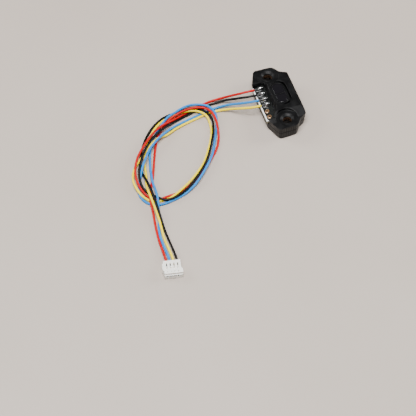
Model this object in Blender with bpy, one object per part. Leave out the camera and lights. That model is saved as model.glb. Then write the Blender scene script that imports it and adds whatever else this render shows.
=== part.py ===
"""Optical time-of-flight distance sensor: a small moulded housing with two screw ears,
an oblong two-pane window, a row of solder pads, and a four-wire lead with its plug.

Frame: metres, +Z up. The housing lies on its flat back at z = 0, with its window up and
its centre above the origin. +Y runs along the housing from ear to ear, and the solder
pads and the lead are on the -X side.
"""

import math

import bmesh
import bpy
from mathutils import Vector

MM = 0.001

# Driving dimensions, in millimetres
BODY_LENGTH = 28.7
HEIGHT = 6.8
SPLIT_LOW = 3.25            # top of the rear shell
SPLIT_HIGH = 3.4            # underside of the front shell
BASE_SCALE = (0.905, 0.982)  # the walls lean in by this much at the base
EAR_TOP = 5.8
HOLE_X = -0.2
HOLE_Y = 10.4
HOLE_RADIUS = 1.55
HEAD_CLEARANCE = 4.15       # radius kept free for a screw's head
BOARD_BOTTOM = 3.45
BOARD_TOP = 4.45
BOARD_EDGE = -7.17
TAB_Y = (-8.4, 7.7)         # the stretch where the board reaches out of the housing
PAD_X = -5.4
PAD_PITCH = 2.54
PAD_COUNT = 6
PAD_RADIUS = 0.8
PAD_HOLE = 0.42
FILM_GAP = 0.05             # printed and soldered layers stand this far off the board
WINDOW_CENTRE = (1.15, 1.1)
WINDOW_SIZE = (5.05, 10.0)
BAR_Y = 0.79                # the bar between the two panes
WIRE = 0.84                 # diameter over the insulation
WIRE_HEIGHT = 5.1           # where the wires leave the board
FLOOR = 0.45                # height of a wire's middle where it lies on the surface
PLUG_CENTRE = (-57.88, -55.45)
PLUG_TURN = math.radians(-11)
PLUG_SIZE = (5.9, 5.6, 2.9)
PLUG_PITCH = 1.25
PLUG_AXIS_Z = 1.5

COLOURS = {
    "housing": ((0.018, 0.018, 0.02), 0.42, 0.0),
    "window": ((0.012, 0.011, 0.016), 0.12, 0.0),
    "board": ((0.012, 0.014, 0.013), 0.35, 0.0),
    "gold": ((0.83, 0.55, 0.33), 0.3, 1.0),
    "solder": ((0.72, 0.73, 0.75), 0.22, 1.0),
    "chip": ((0.02, 0.02, 0.022), 0.5, 0.0),
    "ceramic": ((0.42, 0.3, 0.2), 0.4, 0.0),
    "rubber": ((0.015, 0.015, 0.016), 0.8, 0.0),
    "nylon": ((0.86, 0.85, 0.81), 0.4, 0.0),
    "red": ((0.75, 0.01, 0.005), 0.35, 0.0),
    "black": ((0.01, 0.01, 0.011), 0.35, 0.0),
    "blue": ((0.1, 0.42, 0.75), 0.35, 0.0),
    "yellow": ((0.87, 0.76, 0.06), 0.35, 0.0),
}


# Scene, collections and materials

for old in list(bpy.data.objects):
    bpy.data.objects.remove(old, do_unlink=True)

PARTS = bpy.data.collections.new("distance_sensor")
CUTTERS = bpy.data.collections.new("cutters")
for collection in (PARTS, CUTTERS):
    bpy.context.scene.collection.children.link(collection)


def material(name):
    """The Principled material of that name, made the first time it is asked for."""
    found = bpy.data.materials.get(name)
    if found:
        return found
    colour, roughness, metallic = COLOURS[name]
    made = bpy.data.materials.new(name)
    made.use_nodes = True
    shader = made.node_tree.nodes["Principled BSDF"]
    shader.inputs["Base Color"].default_value = (*colour, 1)
    shader.inputs["Roughness"].default_value = roughness
    shader.inputs["Metallic"].default_value = metallic
    return made


# Outlines and solids

def rounded(corners):
    """A closed outline from (x, y, radius) corners, with an arc at each corner."""
    points = []
    for i, (x, y, radius) in enumerate(corners):
        here = Vector((x, y))
        before = Vector(corners[i - 1][:2]) - here
        after = Vector(corners[(i + 1) % len(corners)][:2]) - here
        if radius <= 0:
            points.append(here)
            continue
        half = before.angle(after) / 2
        reach = radius / math.tan(half)
        start, end = here + before.normalized() * reach, here + after.normalized() * reach
        inward = (before.normalized() + after.normalized()).normalized()
        middle = here + inward * radius / math.sin(half)
        steps = max(2, round((math.pi - 2 * half) / math.radians(18)))
        a, b = start - middle, end - middle
        turn = a.angle_signed(b)
        for k in range(steps + 1):
            angle = math.atan2(a.y, a.x) - turn * k / steps
            points.append(middle + Vector((math.cos(angle), math.sin(angle))) * radius)
    return [(p.x, p.y) for p in points]


def oblong(centre, size, radius):
    """A rectangle with rounded corners."""
    cx, cy = centre
    hx, hy = size[0] / 2, size[1] / 2
    corners = [(cx - hx, cy - hy), (cx + hx, cy - hy), (cx + hx, cy + hy), (cx - hx, cy + hy)]
    return rounded([(x, y, radius) for x, y in corners])


def mirrored(half):
    """A closed outline from its +Y half, listed from +X round to -X."""
    return half + [(x, -y, r) for x, y, r in reversed(half)]


def finish(name, mesh, finish_name, cutter=False):
    """Wrap a mesh in an object, in the parts' or the cutters' collection."""
    made = bpy.data.objects.new(name, mesh)
    if cutter:
        CUTTERS.objects.link(made)
        made.hide_render = True
        made.display_type = "WIRE"
    else:
        PARTS.objects.link(made)
        mesh.materials.append(material(finish_name))
    return made


def plate(name, outline, low, high, finish_name="housing", cutter=False):
    """A flat outline, extruded from the height low to the height high."""
    shape = bmesh.new()
    foot = [shape.verts.new((x * MM, y * MM, low * MM)) for x, y in outline]
    head = [shape.verts.new((x * MM, y * MM, high * MM)) for x, y in outline]
    for i in range(len(outline)):
        j = (i + 1) % len(outline)
        shape.faces.new((foot[i], foot[j], head[j], head[i]))
    shape.faces.new(list(reversed(foot)))
    shape.faces.new(head)
    bmesh.ops.remove_doubles(shape, verts=shape.verts, dist=1e-6)
    bmesh.ops.triangulate(shape, faces=shape.faces)
    bmesh.ops.recalc_face_normals(shape, faces=shape.faces)
    mesh = bpy.data.meshes.new(name)
    shape.to_mesh(mesh)
    shape.free()
    return finish(name, mesh, finish_name, cutter)


def box(name, x, y, z, finish_name="chip", cutter=False):
    """A box from its low and high ends along each axis."""
    shape = bmesh.new()
    bmesh.ops.create_cube(shape, size=1)
    for vert in shape.verts:
        for axis, (low, high) in enumerate((x, y, z)):
            vert.co[axis] = (low if vert.co[axis] < 0 else high) * MM
    mesh = bpy.data.meshes.new(name)
    shape.to_mesh(mesh)
    shape.free()
    return finish(name, mesh, finish_name, cutter)


def drum(name, centre, low, high, bottom, top, finish_name="gold", cutter=False, sides=28):
    """A cylinder or cone about a vertical axis, from its bottom and top radii."""
    shape = bmesh.new()
    bmesh.ops.create_cone(
        shape, cap_ends=True, segments=sides, radius1=bottom * MM, radius2=top * MM,
        depth=(high - low) * MM,
    )
    mesh = bpy.data.meshes.new(name)
    shape.to_mesh(mesh)
    shape.free()
    made = finish(name, mesh, finish_name, cutter)
    made.location = Vector((*centre, (low + high) / 2)) * MM
    return made


def cut(target, *cutters):
    """Cut each cutter out of the target."""
    for cutter in cutters:
        modifier = target.modifiers.new(cutter.name, "BOOLEAN")
        modifier.operation = "DIFFERENCE"
        modifier.solver = "EXACT"
        modifier.object = cutter


def lean(shell):
    """Draw a shell's walls in towards the base, as a moulded body's walls are."""
    for vert in shell.data.vertices:
        share = 1 - vert.co.z / (HEIGHT * MM)
        vert.co.x *= 1 - (1 - BASE_SCALE[0]) * share
        vert.co.y *= 1 - (1 - BASE_SCALE[1]) * share


def soften(piece, degrees=40):
    """Shade the round faces smooth and keep the edges sharp."""
    piece.data.shade_smooth()
    piece.data.set_sharp_from_angle(angle=math.radians(degrees))


# Housing

BODY = rounded(mirrored([
    (7.2, 10, 0.3), (4.7, 11.4, 1.2), (2.7, 14.1, 2.2), (-4.5, BODY_LENGTH / 2, 1.6),
    (-5.6, 11.9, 0.8), (-7.19, 8, 0.5),
]))
BOARD = mirrored([
    (5.5, 9.0, 0.3), (3.3, 10.9, 0.8), (1.8, 12.7, 1.0), (-3.4, 12.7, 1.0), (-4.2, 10.8, 0.5),
    (-5.2, 8.4, 0.3),
])
RECESS_GAP = 0.25


def spread(corners, by):
    """The outline's corners moved away from its middle."""
    return [(x + math.copysign(by, x), y + math.copysign(by, y), r) for x, y, r in corners]


def side_profile(name, points, low, high):
    """A cutter with a profile in the YZ plane, running along X."""
    piece = plate(name, points, low, high, cutter=True)
    for vert in piece.data.vertices:
        vert.co = (vert.co.z, vert.co.x, vert.co.y)
    return piece


def notch_cutter():
    """The wedge cut away beside the window, down to the solder pads."""
    foot, heel, lip = -2.87, -4.45, -1.83
    low, high = BOARD_BOTTOM - 0.4, HEIGHT + 0.3
    y0, y1 = TAB_Y[0] - 0.45, TAB_Y[1] + 0.2
    bend = -3.2
    bottom = [(-9, y0), (heel, y0), (foot, bend), (foot, y1), (-9, y1)]
    top = [(-9, y0), (heel + 0.1, y0 + 0.2), (lip + 0.5, bend), (lip, bend + 1.5), (lip, y1), (-9, y1)]
    bottom.insert(3, (foot, bend + 1.5))
    shape = bmesh.new()
    rings = [[shape.verts.new((x * MM, y * MM, z * MM)) for x, y in ring]
             for ring, z in ((bottom, low), (bottom, BOARD_TOP + 0.25), (top, high))]
    for lower, upper in zip(rings, rings[1:]):
        for i in range(len(lower)):
            j = (i + 1) % len(lower)
            shape.faces.new((lower[i], lower[j], upper[j], upper[i]))
    shape.faces.new(list(reversed(rings[0])))
    shape.faces.new(rings[-1])
    bmesh.ops.triangulate(shape, faces=shape.faces)
    bmesh.ops.recalc_face_normals(shape, faces=shape.faces)
    mesh = bpy.data.meshes.new("notch")
    shape.to_mesh(mesh)
    shape.free()
    return finish("notch", mesh, None, cutter=True)


def ear_cutters(end, side):
    """The sloped shoulder, head clearance, dish and screw hole of one ear."""
    slope = [(6.5 * side, HEIGHT), (10.8 * side, EAR_TOP), (16 * side, EAR_TOP),
             (16 * side, 9), (6.5 * side, 9)]
    if side < 0:
        slope.reverse()
    centre = (HOLE_X, HOLE_Y * side)
    return (
        side_profile(f"shoulder_{end}", slope, -9, 9),
        drum(f"clearance_{end}", centre, EAR_TOP, 9, HEAD_CLEARANCE, HEAD_CLEARANCE,
             cutter=True, sides=44),
        drum(f"dish_{end}", centre, EAR_TOP - 0.6, EAR_TOP + 0.1, HOLE_RADIUS, 2.75,
             cutter=True, sides=32),
        drum(f"hole_{end}", centre, -1, 9, HOLE_RADIUS, HOLE_RADIUS, cutter=True),
    )


def make_housing():
    front = plate("front_housing", BODY, SPLIT_HIGH, HEIGHT)
    rear = plate("rear_housing", BODY, 0, SPLIT_LOW)
    lean(front)
    lean(rear)
    cx, cy = WINDOW_CENTRE
    cut(
        front,
        plate("board_recess", rounded(spread(BOARD, RECESS_GAP)), SPLIT_HIGH - 1, BOARD_TOP + 0.25,
              cutter=True),
        notch_cutter(),
        plate("window_opening", oblong((cx + 0.35, cy - 0.1), (5.95, 10.85), 2.75), 5.3, 9,
              cutter=True),
        plate("light_well", oblong((cx, cy), (4.7, 8.6), 0.6), 4, 5.5, cutter=True),
    )
    chamfer = [(HEIGHT - 0.5, 7.25), (HEIGHT + 0.05, 6.1), (9, 6.1), (9, 9), (HEIGHT - 0.5, 9)]
    edge = plate("long_edge", [(x, z) for z, x in chamfer], -20, 20, cutter=True)
    for vert in edge.data.vertices:
        vert.co = (vert.co.x, -vert.co.z, vert.co.y)
    cut(front, edge)
    cavity = plate("rear_cavity", oblong((0, 0), (9.8, 14.6), 1.0), 1.2, 5, cutter=True)
    cut(rear, cavity)
    for end, side in (("1", 1), ("2", -1)):
        shoulder, clearance, dish, hole = ear_cutters(end, side)
        cut(front, shoulder, clearance, dish, hole)
        cut(rear, hole)
    soften(front, 35)
    soften(rear, 35)


# Circuit board and what is on it

def pad_places():
    """The pads' middles, numbered from the +Y end."""
    first = PAD_PITCH * (PAD_COUNT - 1) / 2
    return [(PAD_X, first - PAD_PITCH * i) for i in range(PAD_COUNT)]


def make_board():
    ear, other_ear = BOARD[:5], BOARD[7:]
    tab = [(-5, TAB_Y[1] + 0.5, 0.2), (-5.2, TAB_Y[1], 0.1), (BOARD_EDGE, TAB_Y[1], 0.3),
           (BOARD_EDGE, TAB_Y[0], 0.3), (-5.2, TAB_Y[0], 0.1)]
    outline = ear + tab + other_ear
    board = plate("circuit_board", rounded(outline), BOARD_BOTTOM, BOARD_TOP, "board")
    holes = [drum(f"pad_bore_{i + 1}", place, 0, 9, PAD_HOLE, PAD_HOLE, cutter=True, sides=16)
             for i, place in enumerate(pad_places())]
    for end, side in (("1", 1), ("2", -1)):
        holes.append(drum(f"screw_bore_{end}", (HOLE_X, HOLE_Y * side), 0, 9,
                          HOLE_RADIUS + 0.2, HOLE_RADIUS + 0.2, cutter=True))
    cut(board, *holes)


def ring(name, centre, low, high, outer, inner, finish_name="gold", sides=20):
    """A flat ring: a turned rectangle."""
    profile = [(outer, high), (outer, low), (inner, low), (inner, high)]
    shape = bmesh.new()
    rows = []
    for k in range(sides):
        angle = 2 * math.pi * k / sides
        rows.append([shape.verts.new((r * math.cos(angle) * MM, r * math.sin(angle) * MM, z * MM))
                     for r, z in profile])
    for k in range(sides):
        this, following = rows[k], rows[(k + 1) % sides]
        for i in range(4):
            j = (i + 1) % 4
            shape.faces.new((this[i], this[j], following[j], following[i]))
    bmesh.ops.recalc_face_normals(shape, faces=shape.faces)
    mesh = bpy.data.meshes.new(name)
    shape.to_mesh(mesh)
    shape.free()
    made = finish(name, mesh, finish_name)
    made.location = (centre[0] * MM, centre[1] * MM, 0)
    soften(made)
    return made


def solder_blob(name, centre, low):
    """A flattened dome of solder, longer along the wire than across it."""
    shape = bmesh.new()
    bmesh.ops.create_uvsphere(shape, u_segments=14, v_segments=8, radius=1)
    for vert in shape.verts:
        x, y, z = vert.co
        height = max(z, -0.3)
        vert.co = (x * 1.25 * MM, y * 0.8 * MM, (height + 0.3) * 0.95 * MM)
    bmesh.ops.remove_doubles(shape, verts=shape.verts, dist=1e-7)
    bmesh.ops.recalc_face_normals(shape, faces=shape.faces)
    mesh = bpy.data.meshes.new(name)
    shape.to_mesh(mesh)
    shape.free()
    made = finish(name, mesh, "solder")
    made.location = Vector((*centre, low)) * MM
    soften(made, 60)


def make_pads():
    top = BOARD_TOP + FILM_GAP
    for i, place in enumerate(pad_places()):
        ring(f"pad_{i + 1}", place, top, top + 0.1, PAD_RADIUS, PAD_HOLE)
    for i, (x, y) in enumerate(pad_places()[:4]):
        solder_blob(f"solder_joint_{i + 1}", (x + 1.15, y), top + 0.15)
        end = drum(f"wire_end_{i + 1}", (0, 0), -0.55, 0.55, 0.2, 0.2, "solder", sides=10)
        end.rotation_euler = (0, math.pi / 2, 0)
        end.location = Vector((x - 0.75, y, WIRE_HEIGHT)) * MM
    for end, side in (("1", 1), ("2", -1)):
        ring(f"hole_plating_{end}", (HOLE_X, HOLE_Y * side), BOARD_BOTTOM - 0.05, BOARD_TOP + 0.12,
             HOLE_RADIUS + 0.14, HOLE_RADIUS - 0.08, sides=28)


def chip(name, centre, size, finish_name="chip", under=True):
    """A component, under or on the board."""
    cx, cy = centre
    sx, sy, sz = size
    low = BOARD_BOTTOM - FILM_GAP - sz if under else BOARD_TOP + FILM_GAP
    return box(name, (cx - sx / 2, cx + sx / 2), (cy - sy / 2, cy + sy / 2), (low, low + sz),
               finish_name)


def make_electronics():
    cx, cy = WINDOW_CENTRE
    chip("ranging_chip", (cx, cy), (2.4, 4.4, 0.95), under=False)
    gasket = box("light_gasket", (cx - 2.2, cx + 2.2), (cy - 3.2, cy + 3.2),
                 (BOARD_TOP + FILM_GAP, 5.4), "rubber")
    cut(gasket, box("gasket_opening", (cx - 1.4, cx + 1.4), (cy - 2.4, cy + 2.4), (4, 6),
                    cutter=True))
    chip("microcontroller", (1.2, -3.4), (4.0, 4.0, 0.85))
    chip("voltage_regulator", (1.6, 4.4), (1.6, 2.9, 1.1))
    for i, place in enumerate([(-1.6, 4.6), (-1.6, 2.6), (3.9, 4.4)]):
        chip(f"capacitor_{i + 1}", place, (0.8, 1.6, 0.8), "ceramic")
    for i, place in enumerate([(-3.4, 4.6), (-3.4, 2.6), (-3.4, 0.6), (-3.4, -1.4)]):
        chip(f"resistor_{i + 1}", place, (0.5, 1.0, 0.35))


# Window

def make_window():
    cx, cy = WINDOW_CENTRE
    low, high = 5.55, HEIGHT - 0.15
    frame = plate("window_frame", oblong((cx, cy), WINDOW_SIZE, 2.3), low, high, "housing")
    ends = (cy + WINDOW_SIZE[1] / 2 - 0.6, cy - WINDOW_SIZE[1] / 2 + 0.6)
    width = WINDOW_SIZE[0] - 1.2
    names = ("emitter_window", "receiver_window")
    for name, end, bar in zip(names, ends, (BAR_Y + 0.15, BAR_Y - 0.15)):
        middle, length = (end + bar) / 2, abs(end - bar)
        inner = "upper" if end > bar else "lower"

        def pane(grow, radius):
            hx, hy = width / 2 + grow, length / 2 + grow
            round_end, square_end = (radius, 0.25) if end > bar else (0.25, radius)
            return rounded([
                (cx - hx, middle - hy, square_end), (cx + hx, middle - hy, square_end),
                (cx + hx, middle + hy, round_end), (cx - hx, middle + hy, round_end),
            ])

        cut(frame, plate(f"{inner}_pocket", pane(0, 1.75), high - 0.55, 9, cutter=True),
            plate(f"{inner}_aperture", pane(-0.45, 1.3), 4, 9, cutter=True))
        plate(name, pane(-0.06, 1.69), high - 0.5, high - 0.08, "window")
    soften(frame)


# Lead. Each wire's own way, as (x, y, height of its middle) from the board to the plug:
# away from the housing, once round a loose loop, then down to the plug, with a low hump
# wherever it passes over another wire.

ROUTES = {
    "red": [
        (-6.85, 6.35, 5.1), (-9.3, 6.5, 4.95), (-13, 7.4, 3.9), (-17.5, 9.3, 1.6),
        (-22, 10, FLOOR), (-27, 9.1, FLOOR), (-38, 5.9, 0.7), (-42, 4.1, 1.9),
        (-46.4, 1.6, 2.35), (-54.4, -6.1, 2.35), (-57.2, -10.8, 2.35),
        (-58.4, -15.2, 2.1), (-58.2, -19.8, 1.4), (-56.4, -23.8, 0.5), (-53.8, -25.6, FLOOR),
        (-49.5, -25.5, FLOOR), (-45, -25.1, FLOOR), (-40, -22.8, FLOOR), (-35, -19.2, FLOOR),
        (-27.3, -11.5, FLOOR), (-25, -7.2, FLOOR), (-23.9, -3, 1.3),
        (-23.4, 0.5, 1.5), (-23.9, 3.8, 2.1), (-25.6, 6.2, 2.35), (-28.6, 7.5, 2.35),
        (-32.5, 7.6, 2.35), (-36.4, 7, 1.8), (-39.6, 6.3, 0.7), (-42, 4.2, FLOOR),
        (-45.2, 0.8, FLOOR), (-48, -4.6, FLOOR), (-52.4, -15.8, FLOOR), (-54.4, -20, 0.7),
        (-55.3, -22.3, 1.35), (-56.2, -24.8, 1.5), (-57, -30.5, 0.95), (-58.4, -40.5, FLOOR),
        (-58.94, -51.06, 1.45),
        (-59.34, -53.13, 1.5),
    ],
    "black": [
        (-6.85, 3.81, 5.1), (-9.3, 4.1, 4.95), (-13, 5.5, 3.9), (-17.5, 7.9, 1.6),
        (-22, 8.6, FLOOR), (-27, 7.8, FLOOR), (-38, 4.8, 0.8),
        (-42.2, 2.6, 1.9), (-46.4, 0.1, 2.35), (-50.4, -3.3, 2.35), (-55.8, -11.2, 2.3),
        (-57.2, -15.6, 1.8), (-57.3, -19.5, 1.3), (-55.7, -22.7, 0.5), (-54.6, -24.3, 1.25),
        (-53.3, -25.7, 1.4), (-51.5, -27.1, 1.3), (-48, -27.35, 1.45), (-42.2, -24.9, 1.4),
        (-34.2, -17.9, 1.4), (-30.8, -13.4, 1.4), (-28, -8.4, 1.4),
        (-25.7, -3.4, 1), (-24.6, 0.4, 0.9), (-24.9, 3.4, 1.4), (-26.3, 6.3, 1.4),
        (-29, 8.3, 1.4), (-32, 8.9, 1), (-35, 8.9, FLOOR), (-40, 8.4, FLOOR),
        (-44.3, 6.4, FLOOR), (-49.5, 1.4, FLOOR), (-53.6, -5.4, FLOOR), (-55.35, -12, FLOOR),
        (-55.2, -17.9, 1.8), (-55, -22, 2.35), (-55.05, -29.3, 2.15), (-55.35, -39, 0.6),
        (-55.26, -51.78, 1.45), (-55.66, -53.85, 1.5),
    ],
    "blue": [
        (-6.85, 1.27, 5.1), (-9.3, 1.6, 4.95), (-13, 3, 3.9), (-17.5, 5.6, 1.6),
        (-22, 6.4, FLOOR), (-27, 5.5, FLOOR), (-38, 2.9, 0.8),
        (-42.2, 0.6, 1.9), (-46.4, -2, 2.35), (-50.2, -5.2, 2.35), (-52.7, -8.5, 2.35),
        (-55.1, -12, 2), (-57, -15.6, 0.75), (-58.5, -19, FLOOR), (-59.2, -22, FLOOR),
        (-57.9, -25.6, FLOOR), (-55.4, -27.6, FLOOR), (-52, -28.1, FLOOR),
        (-45.6, -27, FLOOR), (-41.8, -25.6, 0.9), (-37.8, -22.9, 1.4),
        (-30.2, -14.6, 1.4), (-27.7, -10, 0.9), (-25.2, -4.6, FLOOR), (-23.3, 0, FLOOR),
        (-22.6, 3.6, 1.2), (-23.6, 6.8, 1.4), (-26, 8.8, 1.4), (-30.8, 10, 1.4),
        (-36.6, 8.4, 1.4), (-39.6, 7.1, 1.5), (-42, 5.5, 1),
        (-44.5, 3.2, FLOOR), (-49.5, -3.8, FLOOR), (-53.1, -16.6, 1.4), (-53.85, -26, 2.25),
        (-55.2, -31.5, 0.6), (-57.5, -40, FLOOR), (-57.71, -51.3, 1.45), (-58.11, -53.37, 1.5),
    ],
    "yellow": [
        (-6.85, -1.27, 5.1), (-9.3, -1, 4.95), (-13, 0.6, 3.9), (-17.5, 3.6, 1.6),
        (-22, 5.02, FLOOR), (-31, 3.77, FLOOR), (-38, 1.85, 0.7),
        (-42.2, 0, 1), (-46.4, -1, 1.4), (-54.2, -7.6, 1.4),
        (-58, -11.6, 1.4), (-59.6, -15.6, 1.4), (-59.5, -19.6, 1.4), (-58.7, -22.5, 1.2),
        (-57, -24.8, FLOOR), (-55.2, -26.2, FLOOR),
        (-50, -26.6, 0.5), (-47.4, -26.2, 1.3), (-41, -22.6, 1.4), (-36.4, -18.8, 1.1),
        (-32.6, -14.5, FLOOR), (-26.8, -4.4, FLOOR), (-25.8, 0.4, 0.8), (-26, 3.2, 1.4),
        (-27.4, 5.6, 1.4), (-30, 7.2, 1.4), (-33.5, 7.7, 1.4), (-37, 7.8, 0.6),
        (-40.6, 7.2, FLOOR), (-44.3, 5.2, FLOOR), (-49.3, -0.4, FLOOR), (-53.2, -8.4, FLOOR),
        (-54.6, -15.2, FLOOR), (-55.6, -18, 0.5), (-56.1, -23.4, 2.4), (-56, -28, 2.1),
        (-56.1, -35.5, 1.4), (-56.5, -41.5, FLOOR),
        (-56.49, -51.54, 1.45), (-56.89, -53.61, 1.5),
    ],
}


def smooth_way(points, spacing):
    """Points at an even spacing along the smooth curve through a wire's own points."""
    path = [Vector(p) for p in points]
    path = [2 * path[0] - path[1], *path, 2 * path[-1] - path[-2]]
    fine = []
    for before, start, end, after in zip(path, path[1:], path[2:], path[3:]):
        knots = [0.0]
        for a, b in ((before, start), (start, end), (end, after)):
            knots.append(knots[-1] + (b - a).length ** 0.5)
        k0, k1, k2, k3 = knots
        for i in range(12):
            t = k1 + (k2 - k1) * i / 12
            a1 = before.lerp(start, (t - k0) / (k1 - k0))
            a2 = start.lerp(end, (t - k1) / (k2 - k1))
            a3 = end.lerp(after, (t - k2) / (k3 - k2))
            b1, b2 = a1.lerp(a2, (t - k0) / (k2 - k0)), a2.lerp(a3, (t - k1) / (k3 - k1))
            fine.append(b1.lerp(b2, (t - k1) / (k2 - k1)))
    fine.append(path[-2])
    for point in fine:
        point.z = max(point.z, FLOOR)
    total = sum((b - a).length for a, b in zip(fine, fine[1:]))
    step = total / round(total / spacing)
    even, run, due = [fine[0]], 0.0, step
    for a, b in zip(fine, fine[1:]):
        length = (b - a).length
        while due <= run + length and len(even) < round(total / step):
            even.append(a.lerp(b, (due - run) / length))
            due += step
        run += length
    even.append(fine[-1])
    return even


def make_wire(name, points):
    """One insulated wire: a plain tube along its way."""
    way = smooth_way(points, WIRE * 3)
    data = bpy.data.curves.new(name, "CURVE")
    data.dimensions = "3D"
    data.bevel_depth = WIRE / 2 * MM
    data.bevel_resolution = 2
    data.use_fill_caps = True
    spline = data.splines.new("POLY")
    spline.points.add(len(way) - 1)
    for point, place in zip(spline.points, way):
        point.co = (*(place * MM), 1)
    wire = bpy.data.objects.new(name, data)
    PARTS.objects.link(wire)
    wire.data.materials.append(material(name.split("_")[1]))
    return wire


# Plug

def make_plug():
    width, length, height = PLUG_SIZE
    back, mouth = length / 2, -length / 2
    outline = rounded([
        (width / 2 + 0.45, mouth + 0.2, 0.15), (width / 2 + 0.45, mouth + 1.9, 0.15),
        (width / 2, mouth + 2.4, 0.15), (width / 2, back, 0.15),
        (-width / 2, back, 0.15), (-width / 2, back - 0.8, 0.15),
        (-width / 2 - 0.5, back - 1.3, 0.15), (-width / 2 - 0.5, back - 3.6, 0.15),
        (-width / 2, back - 4.2, 0.15), (-width / 2, mouth, 0.15), (width / 2, mouth, 0.15),
    ])
    holder = bpy.data.objects.new("plug", None)
    PARTS.objects.link(holder)
    holder.location = (PLUG_CENTRE[0] * MM, PLUG_CENTRE[1] * MM, 0)
    holder.rotation_euler.z = PLUG_TURN
    body = plate("connector_housing", outline, 0, height, "nylon")
    pieces = [body]
    cutters = [box("mouth_step", (-9, 9), (mouth - 1, mouth + 0.35), (height - 0.9, 9),
                   cutter=True)]
    for i in range(4):
        x = (i - 1.5) * PLUG_PITCH
        bore = drum(f"wire_bore_{i + 1}", (0, 0), -1.3, 1.3, 0.52, 0.52, cutter=True, sides=12)
        bore.rotation_euler.x = math.pi / 2
        bore.location = (x * MM, back * MM, PLUG_AXIS_Z * MM)
        cutters += [
            bore,
            box(f"channel_{i + 1}", (x - 0.38, x + 0.38), (mouth - 1, back - 0.9),
                (PLUG_AXIS_Z - 0.38, PLUG_AXIS_Z + 0.38), cutter=True),
            box(f"latch_slot_{i + 1}", (x - 0.2, x + 0.2), (back - 2.4, back - 1.15),
                (PLUG_AXIS_Z, 9), cutter=True),
        ]
        tube = box(f"crimp_terminal_{i + 1}", (x - 0.3, x + 0.3), (mouth + 0.3, back - 2.1),
                   (PLUG_AXIS_Z - 0.3, PLUG_AXIS_Z + 0.3), "solder")
        entry = box(f"terminal_entry_{i + 1}", (x - 0.17, x + 0.17), (mouth - 1, mouth + 2.4),
                    (PLUG_AXIS_Z - 0.17, PLUG_AXIS_Z + 0.17), cutter=True)
        cut(tube, entry)
        pieces += [tube, entry]
    cut(body, *cutters)
    for piece in pieces + cutters:
        piece.parent = holder


def edge_line():
    """The white line printed along the board's outer edge, hooked in at the -Y end."""
    outer, inner = BOARD_EDGE + 0.05, BOARD_EDGE + 0.52
    top, foot = TAB_Y[1] - 0.1, TAB_Y[0] + 0.1
    outline = [(outer, foot), (outer + 1.5, foot), (outer + 1.5, foot + 0.45), (inner, foot + 0.45),
               (inner, top), (outer, top)]
    low = BOARD_TOP + 0.02
    plate("board_edge_line", outline, low, low + 0.06, "nylon")


make_housing()
make_board()
edge_line()
make_pads()
make_electronics()
make_window()
for colour, way in ROUTES.items():
    make_wire(f"wire_{colour}", way)
make_plug()
bpy.context.view_layer.update()
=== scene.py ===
# %% [markdown]
# # A small optical distance sensor on its lead
#
# The CAD model fixes every size and place. This script loads it as a frame and gives it
# its looks: softened mouldings, solder, stranded wire ends, a nylon plug, and a
# procedural material on every surface. Lengths are in metres; MM turns millimetres into
# them.

# %% Frame
import math

import bmesh
import bpy
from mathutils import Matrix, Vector


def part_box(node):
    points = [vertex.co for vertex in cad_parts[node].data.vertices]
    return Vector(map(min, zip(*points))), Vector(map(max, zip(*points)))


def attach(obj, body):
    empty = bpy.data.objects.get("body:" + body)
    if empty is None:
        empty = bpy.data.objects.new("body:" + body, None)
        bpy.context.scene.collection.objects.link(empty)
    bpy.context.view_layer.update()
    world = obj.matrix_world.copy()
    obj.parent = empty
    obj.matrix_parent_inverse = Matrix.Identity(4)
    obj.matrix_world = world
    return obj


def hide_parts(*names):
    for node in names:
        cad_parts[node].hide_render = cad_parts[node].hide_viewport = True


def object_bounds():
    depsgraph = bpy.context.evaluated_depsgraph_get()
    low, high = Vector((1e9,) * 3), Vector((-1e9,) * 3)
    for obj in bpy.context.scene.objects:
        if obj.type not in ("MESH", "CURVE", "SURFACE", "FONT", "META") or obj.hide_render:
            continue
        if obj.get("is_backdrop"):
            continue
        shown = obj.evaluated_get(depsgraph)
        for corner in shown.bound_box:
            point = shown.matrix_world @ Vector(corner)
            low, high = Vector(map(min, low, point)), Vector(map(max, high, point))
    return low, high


MM = 0.001
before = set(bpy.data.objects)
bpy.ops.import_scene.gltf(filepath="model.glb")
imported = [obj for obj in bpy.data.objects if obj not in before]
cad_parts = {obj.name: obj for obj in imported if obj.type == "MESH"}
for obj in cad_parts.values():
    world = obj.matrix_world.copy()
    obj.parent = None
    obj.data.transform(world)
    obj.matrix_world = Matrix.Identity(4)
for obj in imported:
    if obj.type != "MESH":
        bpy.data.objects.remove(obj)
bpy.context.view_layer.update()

# %% [markdown]
# ## The camera
#
# A long lens looks down at the sensor from in front and a little to the left, so the
# near and the far end of the lead are drawn at almost the same size.

# %% Camera
lens = bpy.data.cameras.new("view")
lens.lens = 138.46
lens.sensor_width = 36
lens.clip_start, lens.clip_end = 0.01, 10
camera = bpy.data.objects.new("view", lens)
camera.location = (-0.140, -0.337, 0.456)
camera.rotation_euler = (math.radians(35), 0, math.radians(-18.6))
bpy.context.collection.objects.link(camera)
bpy.context.scene.camera = camera
print("camera", lens.lens, "mm lens")
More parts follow.
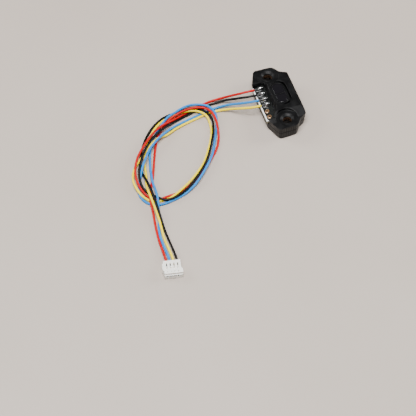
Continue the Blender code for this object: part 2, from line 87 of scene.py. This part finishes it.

# %% [markdown]
# ## The four wires
#
# Each wire is one insulated lead with a real length. Its way is a short list of given points:
# out of the housing, once round a loose loop on the table, and down to the plug, with a low
# hump wherever it passes over another wire. A smooth curve through those points gives the
# tube its bends.

# %% Routes
WIRE = 0.84
FLOOR = 0.45
ROUTES = {
    "red": [
        (-6.85, 6.35, 5.1), (-9.3, 6.5, 4.95), (-13, 7.4, 3.9), (-17.5, 9.3, 1.6),
        (-22, 10, FLOOR), (-27, 9.1, FLOOR), (-38, 5.9, 0.7), (-42, 4.1, 1.9),
        (-46.4, 1.6, 2.35), (-54.4, -6.1, 2.35), (-57.2, -10.8, 2.35),
        (-58.4, -15.2, 2.1), (-58.2, -19.8, 1.4), (-56.4, -23.8, 0.5), (-53.8, -25.6, FLOOR),
        (-49.5, -25.5, FLOOR), (-45, -25.1, FLOOR), (-40, -22.8, FLOOR), (-35, -19.2, FLOOR),
        (-27.3, -11.5, FLOOR), (-25, -7.2, FLOOR), (-23.9, -3, 1.3),
        (-23.4, 0.5, 1.5), (-23.9, 3.8, 2.1), (-25.6, 6.2, 2.35), (-28.6, 7.5, 2.35),
        (-32.5, 7.6, 2.35), (-36.4, 7, 1.8), (-39.6, 6.3, 0.7), (-42, 4.2, FLOOR),
        (-45.2, 0.8, FLOOR), (-48, -4.6, FLOOR), (-52.4, -15.8, FLOOR), (-54.4, -20, 0.7),
        (-55.3, -22.3, 1.35), (-56.2, -24.8, 1.5), (-57, -30.5, 0.95), (-58.4, -40.5, FLOOR),
        (-58.94, -51.06, 1.45),
        (-59.34, -53.13, 1.5),
    ],
    "black": [
        (-6.85, 3.81, 5.1), (-9.3, 4.1, 4.95), (-13, 5.5, 3.9), (-17.5, 7.9, 1.6),
        (-22, 8.6, FLOOR), (-27, 7.8, FLOOR), (-38, 4.8, 0.8),
        (-42.2, 2.6, 1.9), (-46.4, 0.1, 2.35), (-50.4, -3.3, 2.35), (-55.8, -11.2, 2.3),
        (-57.2, -15.6, 1.8), (-57.3, -19.5, 1.3), (-55.7, -22.7, 0.5), (-54.6, -24.3, 1.25),
        (-53.3, -25.7, 1.4), (-51.5, -27.1, 1.3), (-48, -27.35, 1.45), (-42.2, -24.9, 1.4),
        (-34.2, -17.9, 1.4), (-30.8, -13.4, 1.4), (-28, -8.4, 1.4),
        (-25.7, -3.4, 1), (-24.6, 0.4, 0.9), (-24.9, 3.4, 1.4), (-26.3, 6.3, 1.4),
        (-29, 8.3, 1.4), (-32, 8.9, 1), (-35, 8.9, FLOOR), (-40, 8.4, FLOOR),
        (-44.3, 6.4, FLOOR), (-49.5, 1.4, FLOOR), (-53.6, -5.4, FLOOR), (-55.35, -12, FLOOR),
        (-55.2, -17.9, 1.8), (-55, -22, 2.35), (-55.05, -29.3, 2.15), (-55.35, -39, 0.6),
        (-55.26, -51.78, 1.45), (-55.66, -53.85, 1.5),
    ],
    "blue": [
        (-6.85, 1.27, 5.1), (-9.3, 1.6, 4.95), (-13, 3, 3.9), (-17.5, 5.6, 1.6),
        (-22, 6.4, FLOOR), (-27, 5.5, FLOOR), (-38, 2.9, 0.8),
        (-42.2, 0.6, 1.9), (-46.4, -2, 2.35), (-50.2, -5.2, 2.35), (-52.7, -8.5, 2.35),
        (-55.1, -12, 2), (-57, -15.6, 0.75), (-58.5, -19, FLOOR), (-59.2, -22, FLOOR),
        (-57.9, -25.6, FLOOR), (-55.4, -27.6, FLOOR), (-52, -28.1, FLOOR),
        (-45.6, -27, FLOOR), (-41.8, -25.6, 0.9), (-37.8, -22.9, 1.4),
        (-30.2, -14.6, 1.4), (-27.7, -10, 0.9), (-25.2, -4.6, FLOOR), (-23.3, 0, FLOOR),
        (-22.6, 3.6, 1.2), (-23.6, 6.8, 1.4), (-26, 8.8, 1.4), (-30.8, 10, 1.4),
        (-36.6, 8.4, 1.4), (-39.6, 7.1, 1.5), (-42, 5.5, 1),
        (-44.5, 3.2, FLOOR), (-49.5, -3.8, FLOOR), (-53.1, -16.6, 1.4), (-53.85, -26, 2.25),
        (-55.2, -31.5, 0.6), (-57.5, -40, FLOOR), (-57.71, -51.3, 1.45), (-58.11, -53.37, 1.5),
    ],
    "yellow": [
        (-6.85, -1.27, 5.1), (-9.3, -1, 4.95), (-13, 0.6, 3.9), (-17.5, 3.6, 1.6),
        (-22, 5.02, FLOOR), (-31, 3.77, FLOOR), (-38, 1.85, 0.7),
        (-42.2, 0, 1), (-46.4, -1, 1.4), (-54.2, -7.6, 1.4),
        (-58, -11.6, 1.4), (-59.6, -15.6, 1.4), (-59.5, -19.6, 1.4), (-58.7, -22.5, 1.2),
        (-57, -24.8, FLOOR), (-55.2, -26.2, FLOOR),
        (-50, -26.6, 0.5), (-47.4, -26.2, 1.3), (-41, -22.6, 1.4), (-36.4, -18.8, 1.1),
        (-32.6, -14.5, FLOOR), (-26.8, -4.4, FLOOR), (-25.8, 0.4, 0.8), (-26, 3.2, 1.4),
        (-27.4, 5.6, 1.4), (-30, 7.2, 1.4), (-33.5, 7.7, 1.4), (-37, 7.8, 0.6),
        (-40.6, 7.2, FLOOR), (-44.3, 5.2, FLOOR), (-49.3, -0.4, FLOOR), (-53.2, -8.4, FLOOR),
        (-54.6, -15.2, FLOOR), (-55.6, -18, 0.5), (-56.1, -23.4, 2.4), (-56, -28, 2.1),
        (-56.1, -35.5, 1.4), (-56.5, -41.5, FLOOR),
        (-56.49, -51.54, 1.45), (-56.89, -53.61, 1.5),
    ],
}


def smooth_way(points, spacing):
    """Points at an even spacing along the smooth curve through a wire's own points."""
    path = [Vector(p) for p in points]
    path = [2 * path[0] - path[1], *path, 2 * path[-1] - path[-2]]
    fine = []
    for before, start, end, after in zip(path, path[1:], path[2:], path[3:]):
        knots = [0.0]
        for a, b in ((before, start), (start, end), (end, after)):
            knots.append(knots[-1] + (b - a).length ** 0.5)
        k0, k1, k2, k3 = knots
        for i in range(12):
            t = k1 + (k2 - k1) * i / 12
            a1 = before.lerp(start, (t - k0) / (k1 - k0))
            a2 = start.lerp(end, (t - k1) / (k2 - k1))
            a3 = end.lerp(after, (t - k2) / (k3 - k2))
            b1, b2 = a1.lerp(a2, (t - k0) / (k2 - k0)), a2.lerp(a3, (t - k1) / (k3 - k1))
            fine.append(b1.lerp(b2, (t - k1) / (k2 - k1)))
    fine.append(path[-2])
    for point in fine:
        point.z = max(point.z, FLOOR)
    total = sum((b - a).length for a, b in zip(fine, fine[1:]))
    step = total / round(total / spacing)
    even, run, due = [fine[0]], 0.0, step
    for a, b in zip(fine, fine[1:]):
        length = (b - a).length
        while due <= run + length and len(even) < round(total / step):
            even.append(a.lerp(b, (due - run) / length))
            due += step
        run += length
    even.append(fine[-1])
    return even, total


# %% [markdown]
# A curve with a bevel depth is a tube, and filled caps close its ends. The splines are
# POLY splines with a point every 0.7 mm, fine enough to look round at any zoom, and each
# curve is turned into a mesh.

# %% Wires
def tubes(name, lines, thickness, sides=6):
    """A mesh of round tubes, one along each list of points in millimetres."""
    data = bpy.data.curves.new(name, "CURVE")
    data.dimensions = "3D"
    data.bevel_depth = thickness / 2 * MM
    data.bevel_resolution = sides
    data.use_fill_caps = True
    for points in lines:
        spline = data.splines.new("POLY")
        spline.points.add(len(points) - 1)
        for point, place in zip(spline.points, points):
            point.co = (*(place * MM), 1)
    curve = bpy.data.objects.new(name, data)
    bpy.context.collection.objects.link(curve)
    bpy.context.view_layer.update()
    graph = bpy.context.evaluated_depsgraph_get()
    mesh = bpy.data.meshes.new_from_object(curve.evaluated_get(graph))
    bpy.data.objects.remove(curve)
    bpy.data.curves.remove(data)
    mesh.name = name
    mesh.shade_smooth()
    mesh.set_sharp_from_angle(angle=math.radians(50))
    made = bpy.data.objects.new(name, mesh)
    bpy.context.collection.objects.link(made)
    return made


WIRES, WAYS = {}, {}
for colour, points in ROUTES.items():
    way, length = smooth_way(points, 0.7)
    wire = tubes(f"insulation_{colour}", [way], WIRE)
    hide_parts(f"wire_{colour}")
    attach(wire, "root")
    WIRES[colour], WAYS[colour] = wire, (way, length)
    print(wire.name, "length", round(length, 1), "mm in", len(way), "points")

# %% [markdown]
# ## A small language for shader nodes
#
# A node tree is easier to read as arithmetic. `Field` wraps one output socket of a
# shader tree and overloads the operators, so `noise * 0.3 + 0.5` makes the Math nodes it
# needs. `Paint` is a material with a Principled shader, and its `node` method makes any
# other node: the type, its settings, then its sockets.

# %% Shader kit
class Field:
    """A value or colour that varies over a surface: one output socket."""

    def __init__(self, paint, socket):
        self.paint, self.socket = paint, socket

    def math(self, operation, a, b):
        return self.paint.node("Math", {"operation": operation}, {0: a, 1: b})

    def __add__(self, other):
        return self.math("ADD", self, other)

    def __sub__(self, other):
        return self.math("SUBTRACT", self, other)

    def __rsub__(self, other):
        return self.math("SUBTRACT", other, self)

    def __mul__(self, other):
        return self.math("MULTIPLY", self, other)

    __radd__, __rmul__ = __add__, __mul__

    def sine(self):
        return self.paint.node("Math", {"operation": "SINE"}, {0: self})

    def ramp(self, low, high, bottom=0.0, top=1.0):
        """Goes smoothly from bottom to top as this goes from low to high."""
        return self.paint.node(
            "MapRange", {"interpolation_type": "SMOOTHSTEP"},
            {0: self, 1: low, 2: high, 3: bottom, 4: top},
        )


class Paint:
    """A material with one Principled shader."""

    def __init__(self, name):
        self.material = bpy.data.materials.new(name)
        self.material.use_nodes = True
        self.tree = self.material.node_tree
        self.shader = self.tree.nodes["Principled BSDF"]

    def plug(self, node, sockets):
        for key, value in sockets.items():
            if isinstance(value, Field):
                self.tree.links.new(value.socket, node.inputs[key])
            elif node.inputs[key].type == "RGBA":
                node.inputs[key].default_value = (*value[:3], 1)
            else:
                node.inputs[key].default_value = value

    def node(self, kind, settings=None, sockets=None, out=0):
        made = self.tree.nodes.new("ShaderNode" + kind)
        for key, value in (settings or {}).items():
            setattr(made, key, value)
        self.plug(made, sockets or {})
        return Field(self, made.outputs[out])

    def place(self):
        """Where on the object, in metres."""
        return self.node("TexCoord", out="Object")

    def axes(self):
        made = self.node("SeparateXYZ", sockets={0: self.place()}).socket.node
        return [Field(self, made.outputs[i]) for i in range(3)]

    def noise(self, per_mm, detail=3.0, roughness=0.5, stretch=(1, 1, 1)):
        """Noise from 0 to 1 with about that many grains in a millimetre."""
        place = self.node("Mapping", sockets={"Vector": self.place(), "Scale": stretch})
        return self.node("TexNoise", sockets={
            "Vector": place, "Scale": per_mm / MM, "Detail": detail, "Roughness": roughness})

    def blend(self, share, a, b):
        """A colour from a to b."""
        made = self.node("Mix", {"data_type": "RGBA"}).socket.node
        self.plug(made, {0: share, 6: a, 7: b})
        return Field(self, made.outputs[2])

    def facing(self):
        """1 where the surface looks up, 0 where it stands upright."""
        normal = self.node("NewGeometry", out="Normal")
        made = self.node("SeparateXYZ", sockets={0: normal}).socket.node
        return Field(self, made.outputs[2])

    def bump(self, height, depth_mm, strength=1.0):
        return self.node("Bump", sockets={
            "Height": height, "Distance": depth_mm * MM, "Strength": strength})

    def set(self, **sockets):
        self.plug(self.shader, {key.replace("_", " "): v for key, v in sockets.items()})
        return self.material


print("shader kit ready")

# %% [markdown]
# ## Moulded plastic
#
# Black moulded plastic is never one black. A fine mould grain breaks up its shine, a
# slower noise makes some patches duller from handling, and pale dust gathers on faces
# that look up. The ears' end walls carry shallow upright ribs, made as a sine wave of
# the distance along X and kept to the walls by two masks.

# %% Housing material
def moulded_black():
    paint = Paint("moulded_black")
    x, y, z = paint.axes()
    grain = paint.noise(11, 2)
    handling = paint.noise(0.35, 4, 0.6).ramp(0.35, 0.7)
    specks = paint.noise(5.5, 1).ramp(0.7, 0.78) * paint.facing().ramp(0.6, 0.95)
    ribs = (x * (2 * math.pi / (0.9 * MM))).sine()
    walls = (y * y).ramp((12.9 * MM) ** 2, (13.4 * MM) ** 2) * paint.facing().ramp(0.1, 0.3, 1, 0)
    colour = paint.blend(handling, (0.002, 0.002, 0.0022), (0.005, 0.005, 0.0053))
    return paint.set(
        Base_Color=paint.blend(specks * 0.2, colour, (0.12, 0.115, 0.11)),
        Roughness=0.34 + handling * 0.1 + grain * 0.06 + specks * 0.15,
        Normal=paint.bump(grain * 0.25 + ribs * walls * 2.2, 0.03, 0.5),
        Specular_IOR_Level=0.17,
    )


def window_dark():
    """Infrared-pass plastic: nearly black, polished, with a faint violet cast."""
    paint = Paint("window_dark")
    smear = paint.noise(0.5, 3, 0.6, (1, 0.4, 1)).ramp(0.45, 0.75)
    dust = paint.noise(7, 1).ramp(0.74, 0.8)
    return paint.set(
        Base_Color=paint.blend(dust * 0.2, (0.004, 0.0035, 0.005), (0.16, 0.155, 0.16)),
        Roughness=0.07 + smear * 0.12 + dust * 0.3,
        Coat_Weight=0.3, Coat_Roughness=0.04,
        Normal=paint.bump(smear, 0.004, 0.4),
    )


HOUSING, WINDOW = moulded_black(), window_dark()
print("materials:", HOUSING.name, WINDOW.name)

# %% [markdown]
# ## Board, metal and printed line
#
# The solder mask is a thin glossy black film. Copper tracks run under it and lift it a
# little, which a brick pattern shows well: its mortar lines are the gaps between tracks.
# The board's cut edge has no mask, so there the glass laminate shows.

# %% Board and metal materials
def solder_mask():
    paint = Paint("solder_mask")
    tracks = paint.node("TexBrick", {"offset": 0.5}, {
        "Vector": paint.place(), "Scale": 1 / MM, "Brick Width": 2.3, "Row Height": 0.7,
        "Mortar Size": 0.06, "Mortar Smooth": 0.4}, "Fac")
    weave = paint.noise(6, 2, 0.5, (1, 0.3, 1))
    laminate = paint.facing().ramp(0.2, 0.5, 1, 0)
    mask = paint.blend(tracks, (0.006, 0.007, 0.0065), (0.011, 0.012, 0.011))
    edge = paint.blend(weave, (0.1, 0.085, 0.045), (0.17, 0.15, 0.09))
    return paint.set(
        Base_Color=paint.blend(laminate, mask, edge),
        Roughness=0.24 + laminate * 0.4 + weave * 0.08,
        Coat_Weight=0.3 - laminate * 0.3, Coat_Roughness=0.12,
        Normal=paint.bump(weave * 0.3 - tracks, 0.02, 0.5),
    )


def metal(name, bright, dull, roughness, ripple=0.4, scratches=1.0):
    """Bare metal: stains between a bright and a dull tone, with fine scratches."""
    paint = Paint(name)
    stain = paint.noise(2.2, 3, 0.6).ramp(0.35, 0.7)
    lines = paint.noise(9, 2, 0.5, (1, 0.12, 0.5))
    return paint.set(
        Base_Color=paint.blend(stain, bright, dull),
        Metallic=1.0,
        Roughness=roughness + stain * 0.14 + lines * 0.08 * scratches,
        Normal=paint.bump(stain * ripple + lines * 0.2 * scratches, 0.03, 0.45),
    )


def white_ink():
    """Screen-printed ink: chalky, thinner in places, so the mask shows through."""
    paint = Paint("white_ink")
    pores = paint.noise(9, 2).ramp(0.62, 0.78)
    return paint.set(
        Base_Color=paint.blend(pores * 0.6, (0.86, 0.86, 0.84), (0.3, 0.3, 0.3)),
        Roughness=0.55 + pores * 0.2,
        Normal=paint.bump(paint.noise(12, 2), 0.01, 0.5),
    )


def package(name, base, mark, roughness):
    """A moulded or fired component body, with a paler mottle."""
    paint = Paint(name)
    mottle = paint.noise(8, 3, 0.6)
    return paint.set(
        Base_Color=paint.blend(mottle.ramp(0.4, 0.7), base, mark),
        Roughness=roughness + mottle * 0.15,
        Normal=paint.bump(mottle, 0.015, 0.4),
    )


MASK, INK = solder_mask(), white_ink()
GOLD = metal("gold_plate", (0.72, 0.46, 0.27), (0.5, 0.3, 0.17), 0.26)
TIN = metal("solder_metal", (0.7, 0.7, 0.71), (0.45, 0.45, 0.45), 0.15, 0.8, 0.4)
# The hole plating's copper is painted far darker than copper: painted shade for the inside of the
# screw holes.
PLATING_PAINTED_SHADE = metal("hole_plating", (0.2, 0.11, 0.06), (0.07, 0.04, 0.025), 0.38)
# The tinned strands are painted dark grey, far darker than tin: painted shade and painted dark
# reflection on the bare wire ends and the four wired pads.
STRAND_PAINTED_SHADE = metal("tinned_strand_painted_shade", (0.2, 0.2, 0.2), (0.07, 0.07, 0.07), 0.36)
CHIP = package("chip_body", (0.02, 0.02, 0.022), (0.035, 0.035, 0.037), 0.45)
CERAMIC = package("ceramic_body", (0.38, 0.27, 0.18), (0.46, 0.34, 0.24), 0.35)
GASKET = package("gasket_foam", (0.012, 0.012, 0.013), (0.03, 0.03, 0.03), 0.8)
print("materials:", MASK.name, GOLD.name, TIN.name, INK.name)

# %% [markdown]
# ## Insulation and nylon
#
# Wire insulation is soft and slightly translucent; the blue lead gets a little subsurface
# scattering, the others none. Handling leaves dull patches and a few dark smudges.
# The plug is natural nylon: white with a warm tint, and light passes into its edges.

# %% Insulation and nylon materials
def insulation(name, colour, shade, glow):
    paint = Paint("insulation_" + name)
    patch = paint.noise(0.25, 3, 0.6).ramp(0.35, 0.7)
    pits = paint.noise(6, 2)
    smudge = paint.noise(0.8, 4, 0.65).ramp(0.64, 0.8)
    return paint.set(
        Base_Color=paint.blend(patch * 0.6 + smudge * 0.4, colour, shade),
        Roughness=0.36 + patch * 0.1 + pits * 0.06 + smudge * 0.12,
        Normal=paint.bump(pits * 0.5 + patch, 0.012, 0.5),
        Subsurface_Weight=glow, Subsurface_Radius=(0.6, 0.4, 0.3), Subsurface_Scale=0.4 * MM,
        Specular_IOR_Level=0.2,
    )


def nylon():
    paint = Paint("natural_nylon")
    flow = paint.noise(0.7, 3, 0.6, (1, 0.35, 1)).ramp(0.3, 0.75)
    grain = paint.noise(10, 2)
    return paint.set(
        Base_Color=paint.blend(flow, (0.86, 0.85, 0.8), (0.8, 0.78, 0.71)),
        Roughness=0.36 + flow * 0.1 + grain * 0.06,
        Normal=paint.bump(grain * 0.5 + flow, 0.012, 0.5),
        Subsurface_Weight=0.1, Subsurface_Radius=(1.0, 0.9, 0.7), Subsurface_Scale=0.6 * MM,
    )


INSULATION = {
    "red": insulation("red", (0.46, 0.0, 0.0), (0.36, 0.0, 0.0), 0.0),
    "black": insulation("black", (0.001, 0.001, 0.001), (0.004, 0.004, 0.0045), 0.0),
    "blue": insulation("blue", (0.008, 0.2, 0.55), (0.006, 0.16, 0.46), 0.02),
    "yellow": insulation("yellow", (0.9, 0.69, 0.0), (0.76, 0.56, 0.0), 0.0),
}
NYLON = nylon()
for colour, wire in WIRES.items():
    wire.data.materials.append(INSULATION[colour])
print("materials:", NYLON.name, *(m.name for m in INSULATION.values()))

# %% [markdown]
# ## Softened mouldings
#
# The CAD shells have knife-sharp edges, and real mouldings don't. A copy of the CAD mesh
# goes through a fine voxel Remesh, then a few passes of smoothing round every edge by
# about a tenth of a millimetre, and Decimate drops three quarters of the faces, most of
# them on flat areas, which don't need them.
# The result is applied, and it replaces the CAD node.

# %% Softened shells
def apply_modifiers(piece):
    """Bake the modifiers into the mesh."""
    bpy.context.view_layer.update()
    graph = bpy.context.evaluated_depsgraph_get()
    mesh = bpy.data.meshes.new_from_object(piece.evaluated_get(graph))
    old = piece.data
    piece.modifiers.clear()
    piece.data = mesh
    bpy.data.meshes.remove(old)


def dress(piece, finish, slot, *nodes):
    """Give a piece its material and its body, and say which CAD nodes it replaces."""
    piece.data.materials.clear()
    piece.data.materials.append(finish)
    if nodes:
        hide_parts(*nodes)
    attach(piece, "root")
    print(piece.name, len(piece.data.vertices), "vertices")
    return piece


def copy_of(node, name):
    """A copy of a CAD node's mesh, as an object of its own."""
    piece = bpy.data.objects.new(name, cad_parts[node].data.copy())
    bpy.context.collection.objects.link(piece)
    return piece


def softened(piece, voxel, passes, kept=0.25):
    """Round a closed mesh's edges, then keep that share of its faces."""
    remesh = piece.modifiers.new("remesh", "REMESH")
    remesh.mode, remesh.voxel_size = "VOXEL", voxel * MM
    smooth = piece.modifiers.new("smooth", "SMOOTH")
    smooth.factor, smooth.iterations = 0.5, passes
    thin = piece.modifiers.new("thin", "DECIMATE")
    thin.decimate_type, thin.ratio = "COLLAPSE", kept
    apply_modifiers(piece)
    piece.data.shade_smooth()
    return piece


for node, name, voxel, passes in (("front_housing", "front_shell", 0.09, 5),
                                  ("rear_housing", "rear_shell", 0.12, 4),
                                  ("window_frame", "window_surround", 0.06, 4)):
    dress(softened(copy_of(node, name), voxel, passes), HOUSING, "housing", node)

# %% [markdown]
# Small, simple solids only need their edges broken. Limited dissolve first joins the
# triangles of each flat face, so that the Bevel modifier sees clean edges.

# %% Eased edges
def eased(node, name, width, segments=3):
    """A copy of a CAD node with its edges broken, by a width in millimetres."""
    piece = copy_of(node, name)
    shape = bmesh.new()
    shape.from_mesh(piece.data)
    bmesh.ops.remove_doubles(shape, verts=shape.verts, dist=0.002 * MM)
    bmesh.ops.dissolve_limit(shape, angle_limit=math.radians(2), verts=shape.verts,
                             edges=shape.edges)
    shape.to_mesh(piece.data)
    shape.free()
    bevel = piece.modifiers.new("bevel", "BEVEL")
    bevel.width, bevel.segments = width * MM, segments
    bevel.limit_method, bevel.angle_limit = "ANGLE", math.radians(35)
    apply_modifiers(piece)
    piece.data.shade_smooth()
    piece.data.set_sharp_from_angle(angle=math.radians(50))
    return piece


for name in ("emitter_window", "receiver_window"):
    dress(eased(name, name.replace("_window", "_pane"), 0.09, 4), WINDOW, "window", name)
for i in range(1, 4):
    dress(eased(f"capacitor_{i}", f"capacitor_body_{i}", 0.06), CERAMIC, "ceramic",
          f"capacitor_{i}")
for i in range(1, 5):
    dress(eased(f"resistor_{i}", f"resistor_body_{i}", 0.03), CHIP, "chip", f"resistor_{i}")
for name in ("ranging_chip", "microcontroller", "voltage_regulator"):
    dress(eased(name, name + "_body", 0.06), CHIP, "chip", name)
dress(eased("board_edge_line", "printed_edge_line", 0.02), INK, "nylon", "board_edge_line")

# %% [markdown]
# These CAD nodes are already the right shape. They keep it and only get a material,
# through the material slots of their objects.

# %% Materials on CAD nodes
def repaint(node, finish):
    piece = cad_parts[node]
    for index in range(max(1, len(piece.material_slots))):
        if not piece.material_slots:
            piece.data.materials.append(finish)
        piece.material_slots[index].link = "OBJECT"
        piece.material_slots[index].material = finish


repaint("circuit_board", MASK)
repaint("light_gasket", GASKET)
for i in range(1, 5):
    repaint(f"crimp_terminal_{i}", TIN)
for i in (1, 2):
    repaint(f"hole_plating_{i}", PLATING_PAINTED_SHADE)
print("repainted the board, gasket, terminals and plating")

# %% [markdown]
# ## Pads and their plated holes
#
# Each pad is a turned profile: a flat gold ring with rounded rims that dips into its hole
# and goes down through the board as a thin barrel. The four wired pads are tinned, and painted
# dark grey like the strands as painted shade.

# %% Pads
def turned(name, profile, centre, sides=48):
    """Turn a closed (radius, height) profile round a vertical axis, in millimetres."""
    shape = bmesh.new()
    rows = [[shape.verts.new(((centre.x + r * math.cos(a)) * MM, (centre.y + r * math.sin(a)) * MM,
                              z * MM)) for r, z in profile]
            for a in (2 * math.pi * k / sides for k in range(sides))]
    for k, this in enumerate(rows):
        following = rows[(k + 1) % sides]
        for i in range(len(profile)):
            j = (i + 1) % len(profile)
            shape.faces.new((this[i], this[j], following[j], following[i]))
    bmesh.ops.recalc_face_normals(shape, faces=shape.faces)
    mesh = bpy.data.meshes.new(name)
    shape.to_mesh(mesh)
    shape.free()
    made = bpy.data.objects.new(name, mesh)
    bpy.context.collection.objects.link(made)
    mesh.shade_smooth()
    mesh.set_sharp_from_angle(angle=math.radians(40))
    return made


BOARD_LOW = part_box("circuit_board")[0].z / MM
PADS = []
for i in range(1, 7):
    low, high = (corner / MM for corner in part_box(f"pad_{i}"))
    centre, outer = (low + high) / 2, (high.x - low.x) / 2
    rim = [(outer - 0.42, high.z - 0.06), (outer - 0.36, high.z), (outer - 0.05, high.z),
           (outer, high.z - 0.04), (outer, low.z), (outer - 0.38, low.z),
           (outer - 0.4, BOARD_LOW), (outer - 0.45, BOARD_LOW)]
    dress(turned(f"pad_ring_{i}", rim, centre), GOLD if i > 4 else STRAND_PAINTED_SHADE, "gold", f"pad_{i}")
    PADS.append(Vector((centre.x, centre.y, high.z)))

# %% [markdown]
# ## Solder joints and bare strands
#
# Molten solder wets the pad in a concave skirt and climbs the wire as a smooth hump. A
# sphere's points give that shape: the height says how far each point is drawn in. The
# stripped end of each wire is seven thin strands laid round each other.

# %% Solder and strands
def hump(name, foot, half_length, half_width, height):
    """A hump of solder on a pad, leaning out along the wire."""
    shape = bmesh.new()
    bmesh.ops.create_uvsphere(shape, u_segments=40, v_segments=24, radius=1)
    for vert in shape.verts:
        x, y, z = vert.co
        rise = max(z, 0) ** 0.85
        skirt = 1 - 0.3 * math.sin(math.pi * min(1, rise * 1.15)) * (1 if z > 0 else 0)
        ripple = 1 + 0.02 * math.sin(9 * x + 5 * y)
        vert.co = ((x * half_length * skirt - rise * 0.12) * MM,
                   y * half_width * skirt * ripple * MM,
                   (rise * height + min(z, 0) * 0.08) * MM)
        vert.co += foot * MM
    mesh = bpy.data.meshes.new(name)
    shape.to_mesh(mesh)
    shape.free()
    made = bpy.data.objects.new(name, mesh)
    bpy.context.collection.objects.link(made)
    mesh.shade_smooth()
    return made


def strands(name, start, end, lay, count=7):
    """Bare strands from the insulation into the solder, twisted round the middle one."""
    along = end - start
    lines = []
    for k in range(count):
        reach = 0.125 if k else 0.0
        lines.append([])
        for i in range(14):
            angle = 2 * math.pi * (k / (count - 1) + i / 13 * along.length / lay)
            turn = Vector((0, math.cos(angle), math.sin(angle))) * reach
            lines[-1].append(start + along * i / 13 + turn)
    return tubes(name, lines, 0.11, 3)


for i, (colour, pad) in enumerate(zip(ROUTES, PADS), 1):
    low, high = (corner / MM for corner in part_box(f"solder_joint_{i}"))
    foot = Vector(((low.x + high.x) / 2, pad.y, pad.z - 0.02))
    dress(hump(f"solder_hump_{i}", foot, (high.x - low.x) / 2, (high.y - low.y) / 2,
               high.z - foot.z), TIN, "solder", f"solder_joint_{i}")
    start = Vector(ROUTES[colour][0])
    bare = strands(f"bare_strands_{i}", start - Vector((0.05, 0, 0)),
                   Vector((foot.x - 0.2, pad.y, high.z - 0.35)), 2.4)
    # The strands' dark grey is painted shade on the bare ends.
    dress(bare, STRAND_PAINTED_SHADE, "solder", f"wire_end_{i}")

# %% [markdown]
# ## Rings in the screw seats
#
# The dish round each screw hole was turned in the mould tool, and the tool left fine
# concentric steps. Each step is a thin ring lying on the cone.

# %% Seat rings
for end, side in ((1, 1), (2, -1)):
    low, high = (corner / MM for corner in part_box(f"hole_plating_{end}"))
    centre = (low + high) / 2
    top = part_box("front_housing")[1].z / MM - 1.0
    for step, radius in enumerate((1.85, 2.15, 2.45)):
        z = top - 0.6 + (radius - 1.55) / 1.2 * 0.7
        lip = [(radius + 0.07 * math.cos(a), z - 0.01 + 0.05 * math.sin(a))
               for a in (2 * math.pi * k / 10 for k in range(10))]
        dress(turned(f"seat_ring_{end}_{step + 1}", lip, centre, 72), HOUSING, "housing")

# %% [markdown]
# ## The plug
#
# The plug starts as a copy of its CAD node. Before the remesh, Boolean cutters sink two
# rows of round marks into its top, in the plug's own turned axes: wide dimples over the
# latches, and smaller ejector marks near the mouth.

# %% Plug
def plug_axes():
    """The plug's own direction towards its wires, and its terminals' middles."""
    spots = [sum(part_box(f"crimp_terminal_{i}"), Vector()) / 2 / MM for i in range(1, 5)]
    across = (spots[3] - spots[0]).normalized()
    return Vector((-across.y, across.x, 0)), spots


def carve(piece, cutters):
    """Cut the cutters out of a piece, and remove them."""
    for cutter in cutters:
        modifier = piece.modifiers.new("cut", "BOOLEAN")
        modifier.operation, modifier.solver, modifier.object = "DIFFERENCE", "EXACT", cutter
    apply_modifiers(piece)
    for cutter in cutters:
        bpy.data.objects.remove(cutter, do_unlink=True)
    return piece


def mark(centre, radius, depth, top):
    """A slightly tapered pin that sinks a round mark into the surface at the height top."""
    disc = [(0.001, top + 0.5), (radius, top + 0.5), (radius * 0.85, top - depth),
            (0.001, top - depth)]
    return turned("mark", disc, centre, 24)


along, spots = plug_axes()
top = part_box("connector_housing")[1].z / MM
marks = []
for spot in spots:
    marks.append(mark(spot + along * 0.75, 0.3, 0.75, top))
    marks.append(mark(spot - along * 0.75, 0.21, 0.6, top))
body = carve(copy_of("connector_housing", "plug_body"), marks)
dress(softened(body, 0.07, 3), NYLON, "nylon", "connector_housing")

# %% [markdown]
# For each wire, its way and its real length are looked up, and the point where it leaves
# the housing is printed.

# %% Cords
for colour, wire in WIRES.items():
    way, length = WAYS[colour]
    tuple(way[0] * MM)
    [tuple(p * MM) for p in way]
    print(wire.name, "leaves at", [round(v, 2) for v in way[0]])

# %% [markdown]
# ## Table and light
#
# A pale table and three soft lights. The overhead light draws the facets and edges of
# the black housing, the side light runs along the wires, and the world fills the shadows.

# %% Stage and light
sheet = bmesh.new()
bmesh.ops.create_grid(sheet, x_segments=1, y_segments=1, size=1.5)
mesh = bpy.data.meshes.new("table")
sheet.to_mesh(mesh)
sheet.free()
table = bpy.data.objects.new("table", mesh)
table.location.z = -0.02 * MM
bpy.context.collection.objects.link(table)
top_coat = Paint("table_top")
mesh.materials.append(top_coat.set(
    Base_Color=top_coat.blend(top_coat.noise(0.02, 3), (0.42, 0.36, 0.31), (0.46, 0.4, 0.35)),
    Roughness=0.5,
))
table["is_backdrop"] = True


AIM = (-0.02, -0.01, 0)


def soft_light(name, place, size, power):
    """A square lamp that faces the object."""
    data = bpy.data.lights.new(name, "AREA")
    data.shape, data.size, data.energy = "SQUARE", size, power
    made = bpy.data.objects.new(name, data)
    made.location = place
    made.rotation_euler = (Vector(AIM) - Vector(place)).to_track_quat("-Z", "Y").to_euler()
    bpy.context.collection.objects.link(made)


soft_light("overhead", (-0.1, -0.12, 0.6), 0.32, 8.0)
soft_light("side", (0.6, 0.0, 0.3), 0.3, 3.6)
soft_light("back", (-0.5, 0.4, 0.4), 0.3, 3.0)
world = bpy.data.worlds.new("studio")
world.use_nodes = True
world.node_tree.nodes["Background"].inputs["Color"].default_value = (1, 0.98, 0.95, 1)
world.node_tree.nodes["Background"].inputs["Strength"].default_value = 0.14
bpy.context.scene.world = world
print("lights ready")

# %% Finish
low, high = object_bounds()
